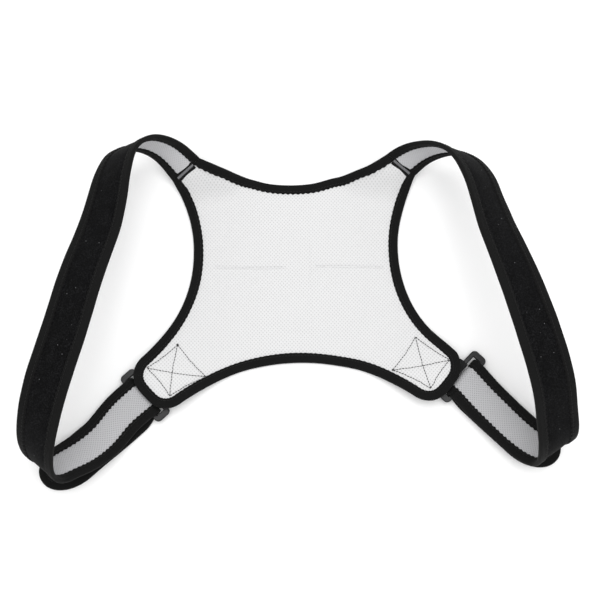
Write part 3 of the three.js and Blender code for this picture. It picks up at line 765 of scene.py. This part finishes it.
def makePanelTape(name, node, edge, scallop):
    depth, off = tapeSection(cloth["tapeWidth"], cloth["tapeWidth"])
    depths, offs = tapeWaves(edge["run"], depth, off, scallop)
    plan = edge["plan"][:, None] + edge["inwards"][:, None] * depths[..., None]
    points = panelPoint(plan[..., 0], plan[..., 1], offs)
    uv = stack(depths, edge["run"][:, None] + 0 * depths)
    tape = makeSurface(name, points, uv, looks["wovenTape"], closed=True)
    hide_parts(node)

    def point(run, at, height):
        place = np.stack([np.interp(run, edge["run"], edge["plan"][:, i]) for i in (0, 1)], 1)
        inwards = np.stack([np.interp(run, edge["run"], edge["inwards"][:, i]) for i in (0, 1)], 1)
        place = place + inwards * at
        low = panelPoint(place[:, 0], place[:, 1], np.full(len(run), height))
        high = panelPoint(place[:, 0], place[:, 1], np.full(len(run), height + 1.0))
        return low, high - low

    stitchRow(f"{name}_stitches", point, edge["run"], cloth["boundHalf"] + stitch["above"])


scallops = {"neck": 1.15, "arms": 0.45, "strap": 1.1}

makePanel()
makePanelTape("neck_edge_tape", "panel_tape_neck", neckEdge, scallops["neck"])
makePanelTape("arm_edge_tape", "panel_tape_arms", armEdge, scallops["arms"])
print("panel made")


# Spline with centripetal spacing through rows of values, at parameters t (0 to 1).
def spline(rows, t):
    spans = len(rows) - 1
    at = np.clip(t, 0, 1 - 1e-9) * spans
    i = np.clip(at.astype(int), 1, spans - 2)
    w = (at - i)[:, None]
    p0, p1, p2, p3 = (rows[i + k] for k in (-1, 0, 1, 2))
    d0, d1, d2 = (
        np.maximum(np.sqrt(np.linalg.norm(b - a, axis=1, keepdims=True)), 1e-4)
        for a, b in ((p0, p1), (p1, p2), (p2, p3))
    )
    t1 = ((p1 - p0) / d0 - (p2 - p0) / (d0 + d1) + (p2 - p1) / d1) * d1
    t2 = ((p2 - p1) / d1 - (p3 - p1) / (d1 + d2) + (p3 - p2) / d2) * d1
    c2 = -3 * p1 + 3 * p2 - 2 * t1 - t2
    c3 = 2 * p1 - 2 * p2 + t1 + t2
    return p1 + t1 * w + c2 * w**2 + c3 * w**3


def widthAt(facing, tilt):
    f, t = np.radians(facing), np.radians(tilt)
    return stack(-np.cos(f) * np.cos(t), np.sin(f) * np.cos(t), np.sin(t))


# Weighted mean over the neighbours along the strap, with both ends held.
def smoothed(rows, reach):
    half = int(3 * reach)
    kernel = np.exp(-0.5 * (np.arange(-half, half + 1) / reach) ** 2)
    kernel = kernel / kernel.sum()
    before = 2 * rows[0] - rows[half:0:-1]
    after = 2 * rows[-1] - rows[-2 : -half - 2 : -1]
    padded = np.concatenate([before, rows, after])
    return np.stack([np.convolve(padded[:, i], kernel, "valid") for i in range(3)], axis=1)


# Middle line of a strap as if it were the right one: over the loop on a spline, a
# half turn round the ring's bar, then out under itself to its end, with a small
# drift to one side. The line and the width are smoothed over a few steps.
strapRun = {
    "lead": 15,
    "step": 0.5,
    "lineReach": 13,
    "widthReach": 18,
    "tailStep": 1.2,
    "driftRun": (3, 20),
    "driftBack": 0.35,
    "driftBackRun": (35, 90),
    "seamHold": 4,
    "widenRun": (10, 80),
}


def strapLine(data):
    heading = math.radians(data["heading"])
    inwards = np.array([-math.cos(heading), math.sin(heading), 0.0])
    ringWidth = np.array([-inwards[1], inwards[0], 0.0])
    start = np.array([seam["out"], seam["up"], seam["rise"]])
    top = ring["level"] + ring["wrapRadius"]
    place = np.array([data["out"], -data["down"], 0.0])
    way = (place - start) * np.array([1, 1, 0])
    place = place - inwards * ring["slip"]
    end = place + np.array([0, 0, top])
    outwards = unit(np.array([-way[1], way[0], 0.0]))
    lie = dict(zip(lieColumns, np.array(data["lie"], dtype=float).T))
    rows = start * np.array([1, 1, 0]) + lie["along"][:, None] * way
    rows = rows + outwards * (lie["out"][:, None] * loop["reach"])
    rows[:, 2] = lie["rise"] * loop["height"]
    seamWidth = widthAt(seam["facing"], seam["tilt"])
    edge = panelPoint(np.array([seam["out"]]), np.array([seam["up"]]), np.array([1.0]))[0]
    normal = edge - start
    leave = np.cross(seamWidth, normal)
    lead = strapRun["lead"]
    places = np.concatenate([[start - lead * leave, start], rows, [end, end + lead * inwards]])
    turns = np.concatenate([[seamWidth] * 2, widthAt(lie["facing"], lie["tilt"]), [ringWidth] * 2])
    spans = len(places) - 1
    t = np.linspace(1 / spans, 1 - 1 / spans, 3000)
    both = np.concatenate([spline(places, t), spline(turns, t)], axis=1)
    loopLine = evenly(both, strapRun["step"])
    line = smoothed(loopLine[:, :3], strapRun["lineReach"])
    width = smoothed(loopLine[:, 3:], strapRun["widthReach"])
    angle = np.linspace(0, np.pi, 26)[1:-1, None]
    up = np.array([0.0, 0.0, 1.0])
    hub = place + up * ring["level"] + inwards * ring["hold"]
    wrap = hub + ring["wrapRadius"] * (np.cos(angle) * up + np.sin(angle) * inwards)
    tailStart = hub - up * ring["wrapRadius"]
    tailLong = data["tail"] - loop["endLong"] + ring["hold"]
    run = np.arange(0, tailLong, strapRun["tailStep"])[:, None]
    back = strapRun["driftBack"] * ramp(run, *strapRun["driftBackRun"])
    drift = data["drift"] * ramp(run, *strapRun["driftRun"]) * (1 - back)
    tail = tailStart - inwards * run + ringWidth * drift
    line = np.concatenate([line, wrap, tail])
    still = np.repeat(ringWidth[None], len(wrap) + len(tail), axis=0)
    width = np.concatenate([width, still])
    along = unit(np.gradient(line, axis=0))
    width = unit(width - along * np.sum(width * along, axis=1, keepdims=True))
    black = np.cross(width, along)
    run = lengths(line)
    share = bell(run, 0, strapRun["seamHold"])[:, None]
    width = width * (1 - share) + seamWidth * share
    black = unit(black * (1 - share) - normal * share)
    half = 0.5 * cloth["seamWidth"]
    widen = ramp(run, *strapRun["widenRun"])
    half = half + 0.5 * (cloth["strapWidth"] - cloth["seamWidth"]) * widen
    return {
        "line": line, "along": along, "width": width, "black": black, "run": run, "half": half,
    }


def mirrored(points, side):
    return points * np.array([side, 1, 1])


# The strap's line, its way along, its width and its black side, by row of the line or
# by distance along it.
def frameAt(strap, index):
    return (strap[key][index][:, None] for key in ("line", "along", "width", "black"))


def frameOn(strap, run):
    return [
        np.stack([np.interp(run, strap["run"], strap[key][:, i]) for i in range(3)], axis=1)
        for key in ("line", "along", "width", "black")
    ]


# Rounded end of a strap: quarter ellipses from each edge to one tip.
def endCurve(angle, way, inset=0.0):
    reach = (loop["endLong"] if way > 0 else loop["endShort"]) - inset
    across = way * 0.5 * cloth["strapWidth"] - loop["tip"] - way * inset
    ahead = loop["endLong"] - inset - reach + reach * np.sin(angle)
    out = unit(stack(np.sin(angle) / reach, np.cos(angle) / across))
    return ahead, loop["tip"] + across * np.cos(angle), out


# One layer of a strap: rows across it between its neck edge and its arm edge. flat is
# the width of the cut cloth in metres, which ends inside the tape.
strapCloth = {"lastDegrees": 84, "lining": 2.1, "outer": 2.0, "wave": 0.18, "flat": 0.0466}


def makeStrapLayer(name, strap, side, sign, full, material, node):
    inset = cloth["edgeInset"]
    angle = np.linspace(0, math.radians(strapCloth["lastDegrees"]), 30)[1:]
    ahead, neck = endCurve(angle, 1, inset)[:2]
    reach = loop["endShort"] - inset
    past = np.clip((ahead - (loop["endLong"] - inset - reach)) / reach, 0, 1)
    arm = endCurve(np.arcsin(past), -1, inset)[1]
    count = len(strap["line"])
    index = np.concatenate([np.arange(count), np.full(len(ahead), count - 1)])
    neck = np.concatenate([strap["half"] - inset, neck])[:, None]
    arm = np.concatenate([inset - strap["half"], arm])[:, None]
    ahead = np.concatenate([np.zeros(count), ahead])[:, None]
    share = 0.5 + 0.5 * np.sin(np.linspace(-0.5 * np.pi, 0.5 * np.pi, 31))
    share = 0.5 * share + 0.5 * np.linspace(0, 1, 31)
    across = arm + (neck - arm) * share
    run = strap["run"][index][:, None] + ahead
    fromEdge = np.minimum(neck - across, across - arm) + inset
    fromTape = fromEdge - cloth["liningTape" if sign < 0 else "outerTape"]
    wave = np.sin(run / 13 + across / 9) * np.sin(run / 31 + 1.3) * ramp(fromTape, 0, 5)
    off = sign * (puff(fromTape, full) + strapCloth["wave"] * wave)
    line, along, width, black = frameAt(strap, index)
    points = line + along * ahead[..., None] + width * across[..., None] + black * off[..., None]
    uv = stack(across, run + 0 * across)
    piece = makeSurface(name, mirrored(points, side), uv, material, turn=(sign * side < 0))
    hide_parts(node)


# Tape along a strap: down its neck edge, round its end and back up its arm edge.
def strapRim(strap):
    count = len(strap["line"])
    index = np.arange(count)
    half = strap["half"]
    angle = np.linspace(0, 0.5 * np.pi, 28)
    neckAhead, neckAcross, neckOut = endCurve(angle[1:-1], 1)
    armAhead, armAcross, armOut = endCurve(angle[::-1], -1)
    straight = np.repeat([[0.0, 1.0]], count, axis=0)
    last = np.full(len(neckAhead) + len(armAhead), count - 1)
    rim = {
        "index": np.concatenate([index, last, index[::-1]]),
        "ahead": np.concatenate([np.zeros(count), neckAhead, armAhead, np.zeros(count)]),
        "across": np.concatenate([half, neckAcross, armAcross, -half[::-1]]),
        "out": np.concatenate([straight, neckOut, armOut, -straight]),
    }
    bare = strap["line"][rim["index"]] + strap["along"][rim["index"]] * rim["ahead"][:, None]
    bare = bare + strap["width"][rim["index"]] * rim["across"][:, None]
    rim["run"] = lengths(bare)
    return rim


def rimPoint(strap, rim, index, depth, off):
    base = rim["index"][index]
    ahead = rim["ahead"][index] - rim["out"][index][..., 0] * depth
    across = rim["across"][index] - rim["out"][index][..., 1] * depth
    return (
        strap["line"][base]
        + strap["along"][base] * ahead[..., None]
        + strap["width"][base] * across[..., None]
        + strap["black"][base] * np.asarray(off)[..., None]
    )


def makeStrapTape(name, strap, side, node):
    rim = strapRim(strap)
    depth, off = tapeSection(cloth["outerTape"], cloth["liningTape"])
    depths, offs = tapeWaves(rim["run"], depth, off, scallops["strap"])
    index = np.repeat(np.arange(len(rim["run"]))[:, None], len(depth), axis=1)
    points = mirrored(rimPoint(strap, rim, index, depths, offs), side)
    uv = stack(depths, rim["run"][:, None] + 0 * depths)
    tape = makeSurface(
        name, points, uv, looks["wovenTape"], closed=True, turn=(side < 0)
    )
    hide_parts(node)

    def point(run, at, height):
        place = np.searchsorted(rim["run"], run).clip(0, len(rim["run"]) - 1)
        low = rimPoint(strap, rim, place, np.full(len(run), at), np.full(len(run), height))
        high = rimPoint(strap, rim, place, np.full(len(run), at), np.full(len(run), height + 1))
        return mirrored(low, side), mirrored(high - low, side) * np.sign(height)

    top = cloth["boundHalf"] + stitch["above"]
    for word, height in (("outer", top), ("inner", -top)):
        stitchRow(f"{name}_{word}_stitches", point, rim["run"], height)


# Seam: a black tape with pale flat-lock threads, crossing from edge to edge of it.
seamTape = {
    "back": 1.6,
    "half": 4.3,
    "reach": 14.2,
    "pitch": 1.5,
    "off": 2.35,
    "lean": -0.06,
    "ridge": 0.08,
    "ridgePitch": 1.3,
    "threadAcross": 0.36,
    "threadShift": 0.55,
    "threadAbove": 0.15,
    "threadEnd": 0.8,
    "threadRadius": 0.26,
    "threadLift": 0.15,
}


def makeSeam(name, side, node):
    w = np.linspace(-1, 1, 60)[:, None] * seamTape["reach"] * math.cos(math.radians(seam["tilt"]))
    d = seamTape["back"] + np.linspace(-1, 1, 22)[None] * seamTape["half"]
    d = d + seamTape["lean"] * w
    plan = seamMiddle - toArm * w[..., None] + seamBack * d[..., None]
    crown = 1 - np.abs(np.linspace(-1, 1, 22)) ** 6
    off = cloth["pressed"] + (seamTape["off"] - cloth["pressed"]) * crown
    off = off + seamTape["ridge"] * np.cos(2 * np.pi * d / seamTape["ridgePitch"])
    points = panelPoint(plan[..., 0], plan[..., 1], off + 0 * w)
    uv = stack(d + 0 * w, w + 0 * d)
    piece = makeSurface(
        name, mirrored(points, side), uv, looks["wovenTape"], turn=(side > 0)
    )
    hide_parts(node)
    far = seamTape["reach"] - seamTape["threadEnd"]
    steps = np.arange(-far, far, seamTape["pitch"])
    steps = steps * math.cos(math.radians(seam["tilt"]))
    acrossTape = seamTape["threadAcross"]
    above = seamTape["off"] + seamTape["threadAbove"]
    ends = []
    for shift, share in ((0.0, -acrossTape), (seamTape["threadShift"], acrossTape)):
        at = steps + shift * seamTape["pitch"]
        back = seamTape["back"] + share * seamTape["half"] + seamTape["lean"] * at[:, None]
        place = seamMiddle - toArm * at[:, None] + seamBack * back
        ends.append(panelPoint(place[:, 0], place[:, 1], np.full(len(at), above)))
    up = panelPoint(place[:, 0], place[:, 1], np.full(len(at), above + 1)) - ends[1]
    starts = np.concatenate([ends[0], ends[1][:-1]])
    stops = np.concatenate([ends[1], ends[0][1:]])
    ups = np.concatenate([up, up[:-1]])
    makeThreads(
        f"{name}_threads", mirrored(starts, side), mirrored(stops, side), mirrored(ups, side),
        seamTape["threadRadius"], seamTape["threadLift"], looks["greyThread"],
    )


# Box stitch with a cross that holds the ring's tab under each lobe.
boxCorners = {
    "left": ((-129.3, -76.9), (-99.1, -112.2), (-136.1, -132.6), (-160.6, -102.3)),
    "right": ((128.0, -73.8), (161.5, -100.6), (140.4, -130.8), (102.0, -109.3)),
}


boxStitch = {
    "pitch": 3.1,
    "gap": 0.06,
    "bow": 1.3,
    "wobble": 0.22,
    "above": 0.12,
    "radius": 0.36,
    "lift": 0.12,
}
knot = {"threads": 9, "reach": 1.3, "above": 0.5, "radius": 0.35, "lift": 0.5}


def makeBox(name, corners, knotCorner):
    corners = np.array(corners)
    lines = [(0, 1), (1, 2), (2, 3), (3, 0), (0, 2), (3, 1)]
    starts, ends = [], []
    for a, b in lines:
        span = np.linalg.norm(corners[b] - corners[a])
        count = int(round(span / boxStitch["pitch"]))
        t = np.linspace(0, 1, count + 1)[:, None]
        side = unit(np.array([corners[b][1] - corners[a][1], corners[a][0] - corners[b][0]]))
        bow = boxStitch["bow"] * np.sin(np.pi * t)
        bow = bow + boxStitch["wobble"] * rng.standard_normal((count + 1, 1))
        line = corners[a] + (corners[b] - corners[a]) * t + bow * side
        gap = (line[1:] - line[:-1]) * boxStitch["gap"]
        starts.append(line[:-1] + gap)
        ends.append(line[1:] - gap)
    starts, ends = np.concatenate(starts), np.concatenate(ends)
    top = cloth["puffed"] + boxStitch["above"]

    def over(plan, off):
        return panelPoint(plan[:, 0], plan[:, 1], np.full(len(plan), off))

    ups = over(starts, top + 1) - over(starts, top)
    makeThreads(
        name, over(starts, top), over(ends, top), ups,
        boxStitch["radius"], boxStitch["lift"], looks["blackThread"],
    )
    angle = rng.uniform(0, 2 * np.pi, knot["threads"])
    tuft = corners[knotCorner] + stack(np.cos(angle), np.sin(angle)) * knot["reach"]
    root = np.repeat(corners[knotCorner][None], len(tuft), axis=0)
    ups = over(root, top + 1) - over(root, top)
    makeThreads(
        f"{name}_knot", over(root, top), over(tuft, top + knot["above"]), ups,
        knot["radius"], knot["lift"], looks["blackThread"],
    )


# Hook tape on the black side of the tail: a low pad that drops at its four edges,
# height = low + rise (1 - a^12)(1 - r^12) with a and r from -1 to 1 over it.
hookPatch = {
    "start": 30.0,
    "end": 96.0,
    "width": 22.0,
    "low": 1.5,
    "rise": 1.75,
    "stitchOut": (0.86, 0.93),
    "stitchPitch": 2.6,
    "stitchShare": 0.8,
    "stitchRise": 0.95,
    "stitchRadius": 0.24,
    "stitchLift": 0.12,
}


def makeHookPatch(name, strap, side, tail, node):
    r = np.linspace(-1, 1, 90)[:, None]
    a = np.linspace(-1, 1, 50)[None]
    middle = 0.5 * (hookPatch["start"] + hookPatch["end"])
    reach = 0.5 * (hookPatch["end"] - hookPatch["start"])
    run = strap["run"][-1] + middle + reach * r[:, 0] - (tail - loop["endLong"])
    inside = np.minimum(run, strap["run"][-1])
    line, along, width, black = (part[:, None] for part in frameOn(strap, inside))
    across = a * 0.5 * hookPatch["width"]
    off = hookPatch["low"] + hookPatch["rise"] * (1 - a**12) * (1 - r**12)
    points = line + along * (run - inside)[:, None, None] + width * across[..., None]
    points = points + black * off[..., None]
    uv = stack(across + 0 * r, run[:, None] + 0 * a)
    piece = makeSurface(
        name, mirrored(points, side), uv, looks["hookTape"], turn=(side < 0)
    )
    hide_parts(node)
    edge = np.array([(-1, -1), (1, -1), (1, 1), (-1, 1), (-1, -1)]) * hookPatch["stitchOut"]
    edge = evenly(edge * [0.5 * hookPatch["width"], reach], hookPatch["stitchPitch"])
    starts, ends = edge[:-1], edge[:-1] + hookPatch["stitchShare"] * (edge[1:] - edge[:-1])

    def over(place, height):
        at = strap["run"][-1] + middle + place[:, 1] - (tail - loop["endLong"])
        within = np.minimum(at, strap["run"][-1])
        base, way, wide, up = frameOn(strap, within)
        return base + way * (at - within)[:, None] + wide * place[:, :1] + up * height

    top = hookPatch["low"] + hookPatch["rise"] * hookPatch["stitchRise"]
    ups = over(starts, top + 1) - over(starts, top)
    makeThreads(
        f"{name}_stitches", mirrored(over(starts, top), side), mirrored(over(ends, top), side),
        mirrored(ups, side), hookPatch["stitchRadius"], hookPatch["stitchLift"],
        looks["blackThread"],
    )


# Webbing tab: from under the lobe round the ring's inner bar and back. back counts
# from the ring's outer bar inwards; a row with a rise is placed from the ring, and
# one without lies under the lobe, by its layer and sag.
tab = {
    "width": 38.0,
    "thick": 1.5,
    "loose": 0.9,
    "play": 5.0,
    "box": (134.0, -103.0),
    "boxHeading": 33.5,
    "boxBack": 44.0,
    "blend": (17, 32),
    "layerGap": 0.3,
    "ridge": 0.08,
    "ridgePitch": 2.4,
    "endTaper": 0.7,
}
tabUnder = ((66.0, 0.0), (55.0, 0.0), (44.0, 0.0), (37.4, 0.4), (29.0, 1.6))
tabRound = (
    (22.0, 4.9), (16.5, 3.0), (12.5, 3.0), (10.9, 2.15), (10.25, 0.0),
    (10.9, -2.15), (12.5, -3.0), (16.5, -3.0), (22.0, -0.2),
)


def makeTab(name, data, side, node):
    heading, boxHeading = math.radians(data["heading"]), math.radians(tab["boxHeading"])
    inwards = np.array([-math.cos(heading), math.sin(heading)])
    ringWidth = np.array([-inwards[1], inwards[0]])
    boxInwards = np.array([-math.cos(boxHeading), math.sin(boxHeading)])
    boxWidth = np.array([-boxInwards[1], boxInwards[0]])
    box = np.array(tab["box"])
    hub = np.array([data["out"], -data["down"]]) - inwards * ring["slip"]
    hub = hub + ringWidth * np.clip((box - hub) @ ringWidth, -tab["play"], tab["play"])
    under, around = np.array(tabUnder), np.array(tabRound)
    back = np.concatenate([under[:, 0], around[:, 0], under[::-1, 0]])
    blend = ramp(back, *tab["blend"])[:, None]
    drop = cloth["puffed"] + tab["loose"] + 0.5 * tab["thick"]

    def line(across):
        byRing = hub + inwards * back[:, None] + ringWidth * across
        byBox = box + boxInwards * (back[:, None] - tab["boxBack"]) + boxWidth * across
        plan = byRing + (byBox - byRing) * blend
        z = panelHeight(plan[:, 0], plan[:, 1]) - drop
        few = len(under)
        z[:few] = z[:few] - under[:, 1]
        z[-few:] = z[-few:] - under[::-1, 1] - tab["thick"] - tab["layerGap"]
        z[few:-few] = ring["level"] + around[:, 1]
        return stack(plan[:, 0], plan[:, 1], z)

    rows = np.concatenate([line(0.5 * tab["width"]), line(-0.5 * tab["width"])], axis=1)
    rows = np.concatenate([2 * rows[:1] - rows[1:2], rows, 2 * rows[-1:] - rows[-2:-1]])
    spans = len(rows) - 1
    path = evenly(spline(rows, np.linspace(1 / spans, 1 - 1 / spans, 900)), 0.6)
    middle = 0.5 * (path[:, :3] + path[:, 3:])
    across = unit(path[:, :3] - path[:, 3:])
    off = unit(np.cross(np.gradient(middle, axis=0), across))
    turn = np.linspace(0, 2 * np.pi, 64, endpoint=False)
    wide = 0.5 * tab["width"] * np.sign(np.cos(turn)) * np.abs(np.cos(turn)) ** 0.25
    high = 0.5 * tab["thick"] * np.sign(np.sin(turn)) * np.abs(np.sin(turn)) ** 0.5
    high = high + tab["ridge"] * np.cos(wide * 2 * np.pi / tab["ridgePitch"]) * np.sign(high)
    run = lengths(middle)
    fromEnd = np.minimum(run, run[-1] - run) / tab["endTaper"]
    thin = np.sqrt(np.clip(fromEnd, 0.001, 1))[:, None, None]
    points = middle[:, None] + across[:, None] * wide[:, None] + off[:, None] * high[:, None] * thin
    uv = stack(wide + 0 * run[:, None], run[:, None] + 0 * wide)
    piece = makeSurface(
        name, mirrored(points, side), uv, looks["webbing"], closed=True,
        turn=(side > 0),
    )
    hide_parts(node)


# The ring is the CAD's own solid, with its edges rounded by a bevel.
ringRounding = 0.0004


def finishRing(piece):
    piece.data.materials.clear()
    piece.data.materials.append(looks["plastic"])
    soft = piece.modifiers.new("rounding", "BEVEL")
    soft.width = ringRounding
    soft.segments = 3
    soft.limit_method = "ANGLE"


knotCorners = {"left": 0, "right": 3}
for word, data in sides.items():
    strap = strapLine(data)
    side = data["side"]
    makeStrapLayer(
        f"{word}_strap_lining", strap, side, -1, strapCloth["lining"], looks["shadedStrapMesh"],
        f"strap_lining_{word}",
    )
    makeStrapLayer(
        f"{word}_strap_outer", strap, side, 1, strapCloth["outer"], looks["loopCloth"],
        f"strap_shell_{word}",
    )
    makeStrapTape(f"{word}_strap_tape", strap, side, f"strap_tape_{word}")
    makeSeam(f"{word}_seam_tape", side, f"seam_tape_{word}")
    makeBox(f"{word}_box_stitch", boxCorners[word], knotCorners[word])
    makeHookPatch(f"{word}_hook_patch", strap, side, data["tail"], f"hook_patch_{word}")
    makeTab(f"{word}_ring_tab", data, side, f"buckle_tab_{word}")
    finishRing(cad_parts[f"ring_buckle_{word}"])
    print(f"{word} strap made")


# Floor, light and camera, in metres but for the camera's two places.
stage = {
    "floorReach": 6.0,
    "floorLevel": -0.0002,
    "floorPaint": (0.985, 0.985, 0.985, 1),
    "sky": 0.75,
}


def makeFloor():
    mesh = bpy.data.meshes.new("floor")
    reach, level = stage["floorReach"], stage["floorLevel"]
    corners = ((-reach, -reach), (reach, -reach), (reach, reach), (-reach, reach))
    mesh.from_pydata([(x, y, level) for x, y in corners], [], [(0, 1, 2, 3)])
    paint = Nodes("floorPaint")
    mesh.materials.append(paint.finish(stage["floorPaint"], 0.9))
    floor = bpy.data.objects.new("floor", mesh)
    bpy.context.scene.collection.objects.link(floor)


lights = {
    "high": {"place": (0.2, 0.1, 2.0), "size": 2.2, "power": 32},
    "front": {"place": (-0.3, -1.5, 1.3), "size": 2.2, "power": 33},
}


# A round lamp that faces the part's middle.
def makeLight(name, place, size, power):
    data = bpy.data.lights.new(name, "AREA")
    data.shape = "DISK"
    data.size = size
    data.energy = power
    lamp = bpy.data.objects.new(name, data)
    lamp.location = place
    aim = np.array([0.0, 0.0, 0.03]) - np.array(place)
    lean = math.atan2(math.hypot(aim[0], aim[1]), -aim[2])
    lamp.rotation_euler = (lean, 0, math.atan2(aim[0], -aim[1]))
    bpy.context.scene.collection.objects.link(lamp)


cameraData = {
    "place": (-0.505, -229.541, 1084.58),
    "target": (3.868, -29.13, 3.0),
    "lens": 60.39,
}


def makeCamera():
    data = bpy.data.cameras.new("camera")
    data.lens = cameraData["lens"]
    data.sensor_width = 36
    data.clip_end = 20
    camera = bpy.data.objects.new("camera", data)
    place = (np.array(cameraData["place"]) + origin) * 0.001
    back = unit(np.array(cameraData["place"]) - np.array(cameraData["target"]))
    azimuth = math.atan2(back[0], -back[1])
    camera.location = place
    camera.rotation_euler = (math.acos(back[2]), 0, azimuth)
    bpy.context.scene.collection.objects.link(camera)
    bpy.context.scene.camera = camera


makeFloor()
for name, values in lights.items():
    makeLight(name, **values)
world = bpy.data.worlds.new("studio")
world.use_nodes = True
world.node_tree.nodes["Background"].inputs[0].default_value = (1, 1, 1, 1)
world.node_tree.nodes["Background"].inputs[1].default_value = stage["sky"]
bpy.context.scene.world = world
bpy.context.scene.view_settings.view_transform = "Standard"
makeCamera()
print("stage made")
